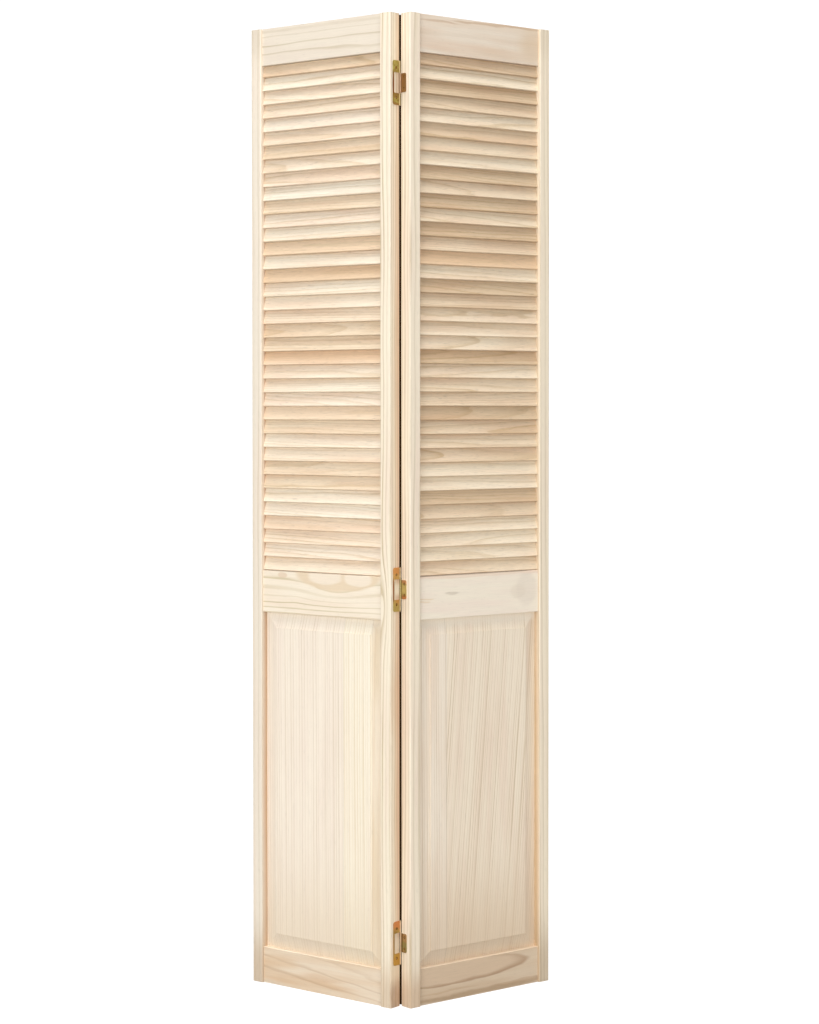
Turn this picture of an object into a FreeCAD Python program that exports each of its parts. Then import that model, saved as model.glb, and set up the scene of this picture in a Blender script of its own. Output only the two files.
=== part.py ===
import FreeCAD, Part

import math
import os

# A bifold closet door: two leaves of bare pine, louvred above and panelled below, folding on
# three non-mortise hinges.  Millimetres and degrees.  A leaf is drawn as if the door were shut,
# the pins on the Z axis: x runs out along the leaf, -y towards the room, z up from the door's
# foot.  "depth" is a distance behind the room face of the stiles.

# Whole door
door_height = 1997.0
leaf_width = 374.65
leaf_thickness = 28.575
leaf_turn = 38.74            # how far each leaf is turned out of the shut plane
plate_play = 0.4             # between a hinge plate and the facing edge when the door is shut

# Stiles and rails
stile_width = 27.0
stile_front_round = 2.5
stile_back_round = 0.5
rail_thickness = 19.05
rail_edge_round = 1.0
top_rail_height = 76.2
mid_rail_height = 87.3
mid_rail_foot = 780.9
bottom_rail_height = 75.0

# Louvre slats, housed in blind mortises
slat_width = 31.75
slat_thickness = 6.0
slat_pitch = 28.54
slat_arris = 1.0             # chamfer along all four corners of a slat
slat_lean = 75.0             # from the horizontal, front edge low
slat_set_back = 2.5          # front edges behind the face of the rails
slat_foot_gap = 0.9          # lowest front edge above the middle rail
slat_head_gap = 0.4          # ripped top slat below the top rail
slat_least_height = 12.0     # a narrower strip than this is left out
mortise_depth = 6.4
mortise_play = 0.12
slat_end_play = 0.3

# Raised panel, loose in its grooves
panel_thickness = 12.7
panel_tongue = 4.76
panel_set_back = 3.2         # raised field behind the face of the rails
panel_margin = 31.75         # from the frame's edge to the raised field
panel_step = 1.5             # shoulder round the field
panel_bevel_start = 1.5      # flat left between the frame and the bevel
groove_depth = 9.0
groove_play = 0.1
panel_float = 1.5            # room to swell at the groove's bottom

# Stub tenons of the rails, glued in blind mortises
tenon_length = 13.0
tenon_thickness = 9.5
tenon_wall = 5.0             # wood left above and below a tenon, beside a groove or pivot bore
tenon_play = 0.05
tenon_end_play = 0.3

# Pivot and guide bores in the ends of the outer stiles
pivot_bore_radius = 4.7625
pivot_bore_depth = 32.0

# Hinges
top_hinge_drop = 139.0       # centre of the top hinge below the door's top
mid_hinge_rise = 62.0        # centre of the middle hinge above the middle rail's foot
bottom_hinge_rise = 128.8
plate_thickness = 1.0
pin_radius = 1.1
pin_running_play = 0.05
pin_fixed_play = 0.02
knuckle_slit = 0.2
knuckle_gap = 0.4
knuckle_clearance = 0.15     # between the knuckles and the back faces
outer_plate_height = 88.9
outer_plate_reach = 20.6
outer_plate_corner = 5.0
window_end_play = 1.6
window_side_play = 0.6
window_strip = 3.5
window_corner = 2.0
outer_screw_spacing = 60.0
inner_plate_height = 38.1
inner_plate_corner = 4.0
inner_screw_spacing = 23.0
screw_reach = 10.2           # screw holes from the back faces
countersink_radius = 3.15
countersink_half_angle = 41.0

# Worked out from the above
top_rail_foot = door_height - top_rail_height
mid_rail_head = mid_rail_foot + mid_rail_height
rail_depth = (leaf_thickness - rail_thickness) / 2
opening_width = leaf_width - 2 * stile_width
panel_field_depth = rail_depth + panel_set_back
panel_back_depth = panel_field_depth + panel_thickness
tongue_depth = panel_back_depth - panel_tongue
slat_depth = rail_depth + slat_set_back
knuckle_bore = pin_radius + pin_running_play
knuckle_radius = knuckle_bore + plate_thickness
pin_offset = knuckle_radius + knuckle_clearance
leaf_gap = plate_thickness + plate_play
plate_face = leaf_gap / 2 - plate_thickness
window_height = inner_plate_height + 2 * window_end_play
inner_plate_reach = outer_plate_reach - window_strip - window_side_play
hinge_centres = {
    "top": door_height - top_hinge_drop,
    "mid": mid_rail_foot + mid_hinge_rise,
    "bottom": bottom_hinge_rise,
}

ALONG_X = FreeCAD.Vector(1, 0, 0)
UP = FreeCAD.Vector(0, 0, 1)
ORIGIN = FreeCAD.Vector(0, 0, 0)


def point(along, depth, z):
    """A point of the leaf: along it from the hinge edge, behind its room face, above its foot."""
    return FreeCAD.Vector(leaf_gap / 2 + along, depth - leaf_thickness - pin_offset, z)


def block(along, depth, z):
    """A square block between two values each of along, depth and z."""
    size = (along[1] - along[0], depth[1] - depth[0], z[1] - z[0])
    return Part.makeBox(*size, point(along[0], depth[0], z[0]))


def rounded(shape, radius, chosen):
    """The shape with every edge rounded for which chosen(edge) is true."""
    return shape.makeFillet(radius, [edge for edge in shape.Edges if chosen(edge)])


def runs_along(edge, direction):
    """Whether the edge is straight and parallel to the direction."""
    start, end = edge.Vertexes[0].Point, edge.Vertexes[-1].Point
    return (end - start).cross(direction).Length < 1e-6 < (end - start).Length


def at_depth(edge, depth):
    """Whether the middle of the edge lies at this depth."""
    return abs(edge.CenterOfMass.y - point(0, depth, 0).y) < 1e-3


# ---- Louvre slats -------------------------------------------------------------------------

def slat_places():
    """Width of each slat and height of its front edge; the top one is ripped to fit its rail."""
    lean = math.radians(slat_lean)
    nose = slat_thickness / 2
    edges = nose + (nose - slat_arris) * math.cos(lean)
    places = []
    foot = mid_rail_head + slat_foot_gap
    while top_rail_foot - slat_head_gap - foot > slat_least_height:
        room = top_rail_foot - slat_head_gap - foot
        fitting = (room - edges) / math.sin(lean) + nose
        places.append((min(slat_width, fitting), foot))
        foot += slat_pitch
    return places


def slat_blanks(start, length, grow):
    """Square blanks of all slats between the ends given, or with grow the room for them."""
    nose = slat_thickness / 2
    corner = FreeCAD.Vector(0, -nose - grow, -nose - grow)
    blanks = []
    for width, foot in slat_places():
        blank = Part.makeBox(length, width + 2 * grow, slat_thickness + 2 * grow, corner)
        blank.rotate(ORIGIN, ALONG_X, slat_lean)
        blank.translate(point(start, slat_depth + nose, foot + nose))
        blanks.append(blank)
    return blanks


def slats():
    """All slats of a leaf with their arrises taken off, each a separate solid."""
    inset = mortise_depth - slat_end_play
    solids = []
    for blank in slat_blanks(stile_width - inset, opening_width + 2 * inset, 0):
        arrises = [edge for edge in blank.Edges if runs_along(edge, ALONG_X)]
        solids.append(blank.makeChamfer(slat_arris, arrises))
    return Part.makeCompound(solids)


# ---- Stub tenons --------------------------------------------------------------------------

def tenons(rail, lengthen, grow):
    """A bar whose ends are the two tenons of a rail, or with grow the mortises for them."""
    foot, head = {
        "bottom": (pivot_bore_depth, bottom_rail_height - groove_depth),
        "mid": (mid_rail_foot + groove_depth, mid_rail_head),
        "top": (top_rail_foot, door_height - pivot_bore_depth),
    }[rail]
    reach = tenon_length + lengthen
    half = tenon_thickness / 2 + grow
    along = (stile_width - reach, leaf_width - stile_width + reach)
    depth = (leaf_thickness / 2 - half, leaf_thickness / 2 + half)
    return block(along, depth, (foot + tenon_wall - grow, head - tenon_wall + grow))


# ---- Stiles, rails and panel --------------------------------------------------------------

def stile(start):
    """A stile from its place along the leaf, with its mortises and the panel groove."""
    end = start + stile_width
    back = leaf_thickness
    bar = block((start, end), (0, back), (0, door_height))
    bar = rounded(bar, stile_front_round, lambda e: runs_along(e, UP) and at_depth(e, 0))
    bar = rounded(bar, stile_back_round, lambda e: runs_along(e, UP) and at_depth(e, back))
    inner_from_hinge = start < leaf_width / 2
    housing = end - mortise_depth if inner_from_hinge else start
    groove = (end - groove_depth, end) if inner_from_hinge else (start, start + groove_depth)
    groove_z = (bottom_rail_height - groove_depth, mid_rail_foot + groove_depth)
    tools = slat_blanks(housing, mortise_depth, mortise_play)
    tools.append(block(groove, groove_depths(), groove_z))
    tools += [tenons(name, tenon_end_play, tenon_play) for name in ("bottom", "mid", "top")]
    return bar.cut(tools)


def groove_depths():
    """Front and back of the panel groove."""
    return tongue_depth - groove_play, panel_back_depth + groove_play


def outer_stile(bored_ends):
    """The stile away from the hinges, bored for a pivot or guide in the ends that are named."""
    start = leaf_width - stile_width
    bar = stile(start)
    for end in bored_ends:
        foot = 0 if end == "bottom" else door_height - pivot_bore_depth
        centre = point(start + stile_width / 2, leaf_thickness / 2, foot)
        bar = bar.cut(Part.makeCylinder(pivot_bore_radius, pivot_bore_depth, centre))
    return bar


def rail(name, z, grooved):
    """A rail between the stiles; grooved is the height of the edge that holds the panel, or None."""
    depth = (rail_depth, rail_depth + rail_thickness)
    along = (stile_width, leaf_width - stile_width)
    bar = block(along, depth, z)

    def shown(edge):
        height = edge.CenterOfMass.z
        outside = abs(height) < 1e-3 or abs(height - door_height) < 1e-3
        return runs_along(edge, ALONG_X) and at_depth(edge, rail_depth) and not outside

    bar = rounded(bar, rail_edge_round, shown).fuse(tenons(name, 0, 0)).removeSplitter()
    if grooved is None:
        return bar
    return bar.cut(block(along, groove_depths(), (grooved - groove_depth, grooved + groove_depth)))


def rectangle(margin, depth):
    """A rectangle of the panel, margin inside the edges of its opening."""
    along = (stile_width + margin, leaf_width - stile_width - margin)
    z = (bottom_rail_height + margin, mid_rail_foot - margin)
    corners = [(along[0], z[0]), (along[1], z[0]), (along[1], z[1]), (along[0], z[1])]
    corners.append(corners[0])
    return Part.makePolygon([point(a, depth, height) for a, height in corners])


def raised_panel():
    """The panel: a tongue all round, a bevel, a shoulder and the raised field."""
    back = FreeCAD.Vector(0, 1, 0)
    tongue = Part.Face(rectangle(panel_float - groove_depth, tongue_depth))
    body = tongue.extrude(back * panel_tongue)
    shoulder = panel_field_depth + panel_step
    bevel = Part.makeLoft(
        [rectangle(panel_bevel_start, tongue_depth), rectangle(panel_margin, shoulder)], True, True
    )
    field = Part.Face(rectangle(panel_margin, panel_field_depth)).extrude(back * panel_step)
    return body.fuse([bevel, field]).removeSplitter()


# ---- Hinges -------------------------------------------------------------------------------

def knuckle(low, high, bore):
    """A tube round the pin from z = low to high."""
    tube = Part.makeCylinder(knuckle_radius, high - low, UP * low)
    return tube.cut(Part.makeCylinder(bore, high - low, UP * low))


def plate(height, reach, corner):
    """A flat hinge plate on the leaf's edge, its middle at z = 0, ending in the knuckle's wall."""
    root = knuckle_bore + plate_thickness / 2
    far = leaf_thickness - reach
    bottom = point(-plate_thickness, far, -height / 2)
    sheet = Part.makeBox(plate_thickness, -root - bottom.y, height, bottom)
    return rounded(sheet, corner, lambda e: runs_along(e, ALONG_X) and at_depth(e, far))


def slit(height):
    """The seam where the rolled sheet comes back to the plate."""
    corner = FreeCAD.Vector(plate_face - knuckle_slit, -knuckle_radius - 1, -height / 2)
    return Part.makeBox(knuckle_slit, knuckle_radius + 1, height, corner)


def countersinks(spacing):
    """The two countersunk screw holes of a plate, as cones that pass through both its faces."""
    slope = math.tan(math.radians(countersink_half_angle))
    length = 3 * plate_thickness
    wide = countersink_radius + plate_thickness * slope
    cones = []
    for z in (-spacing / 2, spacing / 2):
        seat = point(-2 * plate_thickness, leaf_thickness - screw_reach, z)
        cones.append(Part.makeCone(wide, wide - length * slope, length, seat, ALONG_X))
    return cones


def outer_plate():
    """The windowed plate with a knuckle at each end."""
    half = outer_plate_height / 2
    window_half = window_height / 2
    sheet = plate(outer_plate_height, outer_plate_reach, outer_plate_corner)
    far = leaf_thickness - outer_plate_reach + window_strip
    window = block((-2 * plate_thickness, plate_thickness),
                   (far, leaf_thickness + pin_offset), (-window_half, window_half))
    window = rounded(window, window_corner, lambda e: runs_along(e, ALONG_X) and at_depth(e, far))
    sheet = sheet.cut(window)
    bore = pin_radius + pin_fixed_play
    tubes = [knuckle(-half, -window_half, bore), knuckle(window_half, half, bore)]
    return sheet.fuse(tubes).cut([slit(outer_plate_height)] + countersinks(outer_screw_spacing))


def inner_plate():
    """The small plate that lies in the window when the door is shut, with the middle knuckle."""
    half = window_height / 2 - knuckle_gap
    sheet = plate(inner_plate_height, inner_plate_reach, inner_plate_corner)
    sheet = sheet.fuse(knuckle(-half, half, knuckle_bore))
    return sheet.cut([slit(2 * half)] + countersinks(inner_screw_spacing))


def hinge_pin():
    """The pin, its ends flush with the outer knuckles."""
    return Part.makeCylinder(pin_radius, outer_plate_height, UP * (-outer_plate_height / 2))


def raised(shape, height):
    """A copy of the shape moved up."""
    copy = shape.copy()
    copy.translate(UP * height)
    return copy


# ---- The two leaves -----------------------------------------------------------------------

def leaf(side, bored_ends):
    """The wooden pieces of a leaf, by node name."""
    return {
        f"{side}_outer_stile": outer_stile(bored_ends),
        f"{side}_hinge_stile": stile(0),
        f"{side}_top_rail": rail("top", (top_rail_foot, door_height), None),
        f"{side}_mid_rail": rail("mid", (mid_rail_foot, mid_rail_head), mid_rail_foot),
        f"{side}_bottom_rail": rail("bottom", (0, bottom_rail_height), bottom_rail_height),
        f"{side}_raised_panel": raised_panel(),
        f"{side}_louvre_slats": slats(),
    }


def door():
    """Every node of the door in its half-folded rest position, the pins still on the Z axis."""
    left = leaf("left", ("bottom", "top"))
    right = leaf("right", ("top",))
    for name, z in hinge_centres.items():
        left[f"{name}_hinge_outer_plate"] = raised(outer_plate(), z)
        left[f"{name}_hinge_pin"] = raised(hinge_pin(), z)
        right[f"{name}_hinge_inner_plate"] = raised(inner_plate(), z)
    placed = {}
    for name, shape in left.items():
        mirrored = shape.mirror(ORIGIN, ALONG_X)
        placed[name] = mirrored.rotate(ORIGIN, UP, -leaf_turn)
    for name, shape in right.items():
        placed[name] = shape.rotate(ORIGIN, UP, leaf_turn)
    return placed


def main():
    os.makedirs("parts", exist_ok=True)
    nodes = door()
    bounds = Part.makeCompound(list(nodes.values())).optimalBoundingBox(False)
    to_centre = FreeCAD.Vector(0, -bounds.Center.y, 0)
    print("pin axis at y =", round(to_centre.y, 4), "of bounds", bounds)
    for name, shape in nodes.items():
        shape.translate(to_centre)
        shape.exportStep(f"parts/{name}.step")


main()
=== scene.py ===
"""Dresses the bifold closet door: bare pine boards, louvre slats, brass hinges and their screws."""

import logging
import math
from dataclasses import dataclass
from enum import Enum
from random import Random

import bmesh
import bpy
from bmesh.types import BMEdge, BMesh, BMVert
from bpy.types import Material, Node, NodeSocket, NodeTree, Object
from mathutils import Euler, Matrix, Vector

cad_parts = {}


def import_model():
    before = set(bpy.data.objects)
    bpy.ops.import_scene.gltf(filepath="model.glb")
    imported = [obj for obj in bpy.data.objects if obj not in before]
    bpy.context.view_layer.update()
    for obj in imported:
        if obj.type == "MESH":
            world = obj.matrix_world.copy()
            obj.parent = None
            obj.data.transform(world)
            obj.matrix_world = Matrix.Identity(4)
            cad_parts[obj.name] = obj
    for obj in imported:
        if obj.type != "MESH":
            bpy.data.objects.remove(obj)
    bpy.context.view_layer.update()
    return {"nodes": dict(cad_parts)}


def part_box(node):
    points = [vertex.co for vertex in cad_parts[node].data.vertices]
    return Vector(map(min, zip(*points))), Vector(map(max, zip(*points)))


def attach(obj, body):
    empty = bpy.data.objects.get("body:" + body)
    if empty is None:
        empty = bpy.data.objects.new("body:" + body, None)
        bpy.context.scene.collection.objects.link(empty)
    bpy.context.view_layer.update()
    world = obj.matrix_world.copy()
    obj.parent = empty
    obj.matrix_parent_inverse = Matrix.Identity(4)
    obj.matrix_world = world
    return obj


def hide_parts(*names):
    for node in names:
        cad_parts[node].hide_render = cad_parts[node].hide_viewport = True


log = logging.getLogger("bifold_door")

MM = 0.001
WHITE = (1.0, 1.0, 1.0, 1.0)

# The lumps of a board's noises, mm across, deep and along its grain. Fibres and resin streaks
# are drawn no finer than 0.7 mm, so that they still show.
CLOUDS = (22.0, 22.0, 260.0)
BENDS = (60.0, 60.0, 380.0)
RIPPLES = (12.0, 12.0, 90.0)
FADES = (30.0, 30.0, 300.0)
SOFT_EDGES = (14.0, 14.0, 60.0)
FIBRES = (0.7, 0.7, 40.0)
STREAKS = (1.2, 1.2, 18.0)
# How far a stain's edge wanders in wood, mm.
EDGE_WANDER = 9.0
# The lumps of the brass's noises, mm.
BRASS_CLOUDS = (6.0, 6.0, 6.0)
BRASS_SPECKS = (0.8, 0.8, 0.8)


# ---------------------------------------- small helpers

def linear(colour: str) -> tuple[float, float, float, float]:
    """Turns an sRGB hex colour to the linear values that a shader takes.

    Args:
        colour: six hex digits, such as "F6E9CF".

    Returns:
        Red, green, blue and an alpha of 1.
    """
    channels = [int(colour[i:i + 2], 16) / 255 for i in (0, 2, 4)]
    curved = [c / 12.92 if c <= 0.04045 else ((c + 0.055) / 1.055) ** 2.4 for c in channels]
    return (*curved, 1.0)


def add(tree: NodeTree, kind: str, inputs: dict | None = None, **settings) -> Node:
    """Adds one node to a tree, with its settings, its values and the links that feed it.

    Args:
        tree: the material's or the world's node tree.
        kind: the node's type, without the leading "ShaderNode".
        inputs: what each input gets, by name or number: a plain value or another node's output.
        **settings: the node's own properties.

    Returns:
        The new node.
    """
    node = tree.nodes.new("ShaderNode" + kind)
    for key, value in settings.items():
        setattr(node, key, value)
    for key, value in (inputs or {}).items():
        if isinstance(value, NodeSocket):
            tree.links.new(value, node.inputs[key])
        else:
            node.inputs[key].default_value = value
    return node


def new_material(name: str) -> tuple[Material, NodeTree]:
    """Makes a material with an empty node tree.

    Args:
        name: the finish's name.

    Returns:
        The material and its node tree.
    """
    material = bpy.data.materials.new(name)
    material.use_nodes = True
    material.node_tree.nodes.clear()
    return material, material.node_tree


def new_piece(name: str, shape: BMesh, material: Material) -> Object:
    """Makes an object at the origin from a finished bmesh.

    Args:
        name: the piece's name.
        shape: its mesh, already in place; it is freed here.
        material: its finish.

    Returns:
        The new object.
    """
    mesh = bpy.data.meshes.new(name)
    shape.to_mesh(mesh)
    shape.free()
    mesh.materials.append(material)
    piece = bpy.data.objects.new(name, mesh)
    bpy.context.scene.collection.objects.link(piece)
    return piece


# ---------------------------------------- the door's frame

class Side(Enum):
    """The two leaves: the sign of each leaf's turn and of its way from the pins."""

    LEFT = -1
    RIGHT = 1

    @property
    def label(self) -> str:
        """The side's name as the nodes have it."""
        return self.name.lower()


class Grain(Enum):
    """Which way a board's grain runs in its leaf."""

    UPRIGHT = "z"
    LEVEL = "x"


@dataclass(frozen=True)
class LeafFrame:
    """Where a leaf stands: half folded about the pins' shared axis.

    In its own frame x runs to the right along the leaf, y into its thickness and z up.
    """

    side: Side
    turn: float = 38.74
    pin_y: float = -105.1313
    half_gap: float = 0.7
    pin_offset: float = 2.3
    thickness: float = 28.575

    @property
    def to_room(self) -> Matrix:
        """The matrix from the leaf's own frame, in mm, to the room's, in mm."""
        turned = Matrix.Rotation(math.radians(self.side.value * self.turn), 4, "Z")
        return Matrix.Translation((0.0, self.pin_y, 0.0)) @ turned

    def across(self, from_hinge_edge: float) -> float:
        """The leaf's own x of a place this far, in mm, from its hinge edge."""
        return self.side.value * (self.half_gap + from_hinge_edge)

    def deep(self, from_room_face: float) -> float:
        """The leaf's own y of a place this far, in mm, behind its room face."""
        return from_room_face - self.thickness - self.pin_offset


# ---------------------------------------- finishes: pine

@dataclass(frozen=True)
class Spot:
    """A place on a board: mm across it and along its grain from its middle, and its reach."""

    across: float
    along: float
    reach_across: float
    reach_along: float

    def bell(self, tree: NodeTree, point: NodeSocket) -> NodeSocket:
        """Adds a mask that is 1 in the spot's middle and falls away round it.

        Args:
            tree: the material's node tree.
            point: the board's own point, mm.

        Returns:
            The mask.
        """
        near = add(tree, "Mapping", {
            "Vector": point, "Scale": (1 / self.reach_across, 0.0, 1 / self.reach_along),
            "Location": (-self.across / self.reach_across, 0.0, -self.along / self.reach_along)})
        far = add(tree, "VectorMath", {0: near.outputs[0], 1: near.outputs[0]}, operation="DOT_PRODUCT")
        fall = add(tree, "Math", {0: far.outputs["Value"], 1: -1.0}, operation="MULTIPLY").outputs[0]
        return add(tree, "Math", {0: math.e, 1: fall}, operation="POWER").outputs[0]


@dataclass(frozen=True)
class Swell(Spot):
    """Where the growth rings stand nearer to the face or further in, as round a grown-over branch."""

    height: float


@dataclass(frozen=True)
class Stain(Spot):
    """A pin knot, resin streak or patch of another tone."""

    tone: str
    strength: float
    edge: float = 0.15


@dataclass(frozen=True)
class Figure:
    """What one board brings to a material: its colour, its latewood lines and its fibres."""

    colour: NodeSocket
    late: NodeSocket
    fibre: NodeSocket


@dataclass(frozen=True)
class PineBoard:
    """Bare sanded pine of wide rings, and how this board was sawn from its log.

    Pale earlywood with thin olive-tan latewood lines; matt, because nothing is on it.
    Lengths are mm, angles degrees. The board's own frame is across, deep and along the grain:
    deep counts into the leaf in an upright board and out of it in a level one. The edges of
    stains wander with the grain; those of marks are straight.
    """

    name: str
    sapwood: str = "F7ECD9"
    latewood: str = "D9C6A0"
    heartwood: str = "E9C9A9"
    blush: str = "F3DECB"
    ring: float = 7.0
    pith: tuple[float, float] = (30.0, 90.0)
    lean: tuple[float, float] = (0.3, 0.2)
    wander: float = 4.0
    ripple: float = 0.9
    heart_radius: float = 0.0
    heart_edge: float = 6.0
    line_strength: float = 0.8
    onset: float = 0.5
    cloudiness: float = 0.6
    coarseness: float = 1.0
    end_grain: float = 0.0
    swells: tuple[Swell, ...] = ()
    stains: tuple[Stain, ...] = ()
    marks: tuple[Stain, ...] = ()

    def material(self, place: Matrix | None) -> Material:
        """Makes the board's material.

        Args:
            place: turns a point of the room, in mm, to the board's own frame, or None where
                the piece carries its own board_point and board_tint attributes.

        Returns:
            The material, named for the board.
        """
        material, tree = new_material(self.name)
        point = board_point(tree, place)
        figure = self.figure(tree, point)
        if place is None:
            tint = add(tree, "Attribute", attribute_name="board_tint").outputs["Color"]
            tinted = add(tree, "Mix", {0: 1.0, 6: figure.colour, 7: tint},
                         data_type="RGBA", blend_type="MULTIPLY").outputs[2]
            figure = Figure(tinted, figure.late, figure.fibre)
        sanded_surface(tree, figure, self.end_grain)
        return material

    def figure(self, tree: NodeTree, point: NodeSocket) -> Figure:
        """Adds the board's figure: its rings as the faces cut them, its heartwood and its fibres.

        Args:
            tree: the material's node tree.
            point: the board's own point, mm.

        Returns:
            The board's share of the material.
        """
        radius = self._radius(tree, point)
        late = self._latewood(tree, point, radius)
        cloud = grain_noise(tree, point, CLOUDS, 2.0).outputs[0]
        cloud = add(tree, "MapRange", {
            "Value": cloud, "From Min": 0.42, "From Max": 0.68, "To Max": self.cloudiness}).outputs[0]
        wood = add(tree, "Mix", {0: cloud, 6: linear(self.sapwood), 7: linear(self.blush)},
                   data_type="RGBA").outputs[2]
        if self.heart_radius:
            heart = add(tree, "MapRange", {
                "Value": radius, "From Min": self.heart_radius + self.heart_edge,
                "From Max": self.heart_radius - self.heart_edge}, interpolation_type="SMOOTHSTEP")
            wood = add(tree, "Mix", {0: heart.outputs[0], 6: wood, 7: linear(self.heartwood)},
                       data_type="RGBA").outputs[2]
        wood = add(tree, "Mix", {0: late, 6: wood, 7: linear(self.latewood)},
                   data_type="RGBA").outputs[2]
        edges = grain_noise(tree, point, SOFT_EDGES, 2.0).outputs["Color"]
        wood = stained(tree, wood, pushed(tree, point, edges, EDGE_WANDER), self.stains)
        wood = stained(tree, wood, point, self.marks)
        fibre = grain_noise(tree, point, FIBRES, 2.0).outputs[0]
        shade = add(tree, "MapRange", {
            "Value": fibre, "From Min": 0.3, "From Max": 0.7, "To Min": 1.0 - 0.04 * self.coarseness,
            "To Max": 1.0 + 0.03 * self.coarseness}).outputs[0]
        streak = grain_noise(tree, point, STREAKS, 1.0).outputs[0]
        streak = add(tree, "MapRange", {
            "Value": streak, "From Min": 0.67 - 0.04 * self.coarseness, "From Max": 0.75, "To Min": 1.0,
            "To Max": 1.0 - 0.08 * self.coarseness}).outputs[0]
        shade = add(tree, "Math", {0: shade, 1: streak}, operation="MULTIPLY").outputs[0]
        wood = add(tree, "VectorMath", {0: wood, 1: shade}, operation="MULTIPLY").outputs[0]
        return Figure(wood, late, fibre)

    def _radius(self, tree: NodeTree, point: NodeSocket) -> NodeSocket:
        """Adds the distance from the pith of a log that is never quite straight or round.

        Args:
            tree: the material's node tree.
            point: the board's own point, mm.

        Returns:
            The distance, mm.
        """
        log_point = add(tree, "Mapping", {
            "Vector": point, "Location": (*(-p for p in self.pith), 0.0),
            "Rotation": tuple(math.radians(a) for a in self.lean) + (0.0,)}).outputs[0]
        bend = grain_noise(tree, point, BENDS, 1.0)
        ripple = grain_noise(tree, point, RIPPLES, 1.0)
        log_point = pushed(tree, log_point, bend.outputs["Color"], self.wander)
        log_point = pushed(tree, log_point, ripple.outputs["Color"], self.ripple)
        flat = add(tree, "VectorMath", {0: log_point, 1: (1.0, 1.0, 0.0)}, operation="MULTIPLY")
        radius = add(tree, "VectorMath", {0: flat.outputs[0]}, operation="LENGTH").outputs["Value"]
        for swell in self.swells:
            radius = add(tree, "Math", {0: swell.bell(tree, point), 1: swell.height, 2: radius},
                         operation="MULTIPLY_ADD").outputs[0]
        return radius

    def _latewood(self, tree: NodeTree, point: NodeSocket, radius: NodeSocket) -> NodeSocket:
        """Adds the latewood lines: each comes on slowly, ends sharply and has its own strength.

        Args:
            tree: the material's node tree.
            point: the board's own point, mm.
            radius: the distance from the pith, mm.

        Returns:
            How much latewood there is, from 0 to line_strength.
        """
        years = add(tree, "Math", {0: radius, 1: self.ring}, operation="DIVIDE").outputs[0]
        uneven = add(tree, "TexNoise", {"W": years, "Scale": 0.7, "Detail": 1.0}, noise_dimensions="1D")
        years = add(tree, "Math", {0: uneven.outputs[0], 1: 1.1, 2: years},
                    operation="MULTIPLY_ADD").outputs[0]
        season = add(tree, "Math", {0: years}, operation="FRACT").outputs[0]
        line = add(tree, "ValToRGB", {"Fac": season})
        darkest = 0.9
        half_dark = self.onset + (darkest - self.onset) * 0.65
        grey_stops(line, ((0.0, 0.18), (0.06, 0.0), (self.onset, 0.0), (half_dark, 0.45),
                          (darkest, 1.0), (0.97, 0.9), (1.0, 0.2)))
        bold = add(tree, "TexNoise", {"W": years, "Scale": 0.45, "Detail": 0.0}, noise_dimensions="1D")
        bold = add(tree, "MapRange", {
            "Value": bold.outputs[0], "From Min": 0.35, "From Max": 0.62, "To Min": 0.4})
        fade = grain_noise(tree, point, FADES, 1.0)
        fade = add(tree, "MapRange", {
            "Value": fade.outputs[0], "From Min": 0.35, "From Max": 0.65, "To Min": 0.55})
        late = line.outputs["Color"]
        for weaker in (bold.outputs[0], fade.outputs[0], self.line_strength):
            late = add(tree, "Math", {0: late, 1: weaker}, operation="MULTIPLY").outputs[0]
        return late


@dataclass(frozen=True)
class GluedPanel:
    """Boards glued edge to edge and planed as one; joints are their glue lines, mm across.

    A joint_shade of 0.1 makes a glue line a tenth darker.
    """

    name: str
    boards: tuple[PineBoard, ...]
    joints: tuple[float, ...]
    joint_width: float = 0.9
    joint_shade: float = 0.1
    end_grain: float = 0.08

    def material(self, place: Matrix) -> Material:
        """Makes the panel's material.

        Args:
            place: turns a point of the room, in mm, to the panel's own frame.

        Returns:
            The material, named for the panel.
        """
        material, tree = new_material(self.name)
        point = board_point(tree, place)
        across = add(tree, "SeparateXYZ", {0: point}).outputs[0]
        figure = self.boards[0].figure(tree, point)
        for joint, board in zip(self.joints, self.boards[1:]):
            following = board.figure(tree, point)
            beyond = add(tree, "Math", {0: across, 1: joint}, operation="GREATER_THAN").outputs[0]
            line = add(tree, "Math", {0: across, 1: joint, 2: self.joint_width}, operation="COMPARE")
            shade = add(tree, "Math", {0: line.outputs[0], 1: -self.joint_shade, 2: 1.0},
                        operation="MULTIPLY_ADD").outputs[0]
            colour = add(tree, "Mix", {0: beyond, 6: figure.colour, 7: following.colour},
                         data_type="RGBA").outputs[2]
            figure = Figure(
                add(tree, "VectorMath", {0: colour, 1: shade}, operation="MULTIPLY").outputs[0],
                add(tree, "Mix", {0: beyond, 2: figure.late, 3: following.late}).outputs[0],
                add(tree, "Mix", {0: beyond, 2: figure.fibre, 3: following.fibre}).outputs[0])
        sanded_surface(tree, figure, self.end_grain)
        return material


def board_point(tree: NodeTree, place: Matrix | None) -> NodeSocket:
    """Adds the point in a board's own frame: by its place in the room or its own attribute.

    Args:
        tree: the material's node tree.
        place: turns a point of the room, in mm, to the board's own frame, or None.

    Returns:
        The point, mm across, deep and along the grain.
    """
    if place is None:
        metres = add(tree, "Attribute", attribute_name="board_point").outputs["Vector"]
        return add(tree, "VectorMath", {0: metres, 1: (1 / MM,) * 3}, operation="MULTIPLY").outputs[0]
    room = add(tree, "TexCoord").outputs["Object"]
    return add(tree, "Mapping", {
        "Vector": room, "Scale": (1 / MM,) * 3,
        "Rotation": place.to_euler(), "Location": place.to_translation()}).outputs[0]


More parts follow.
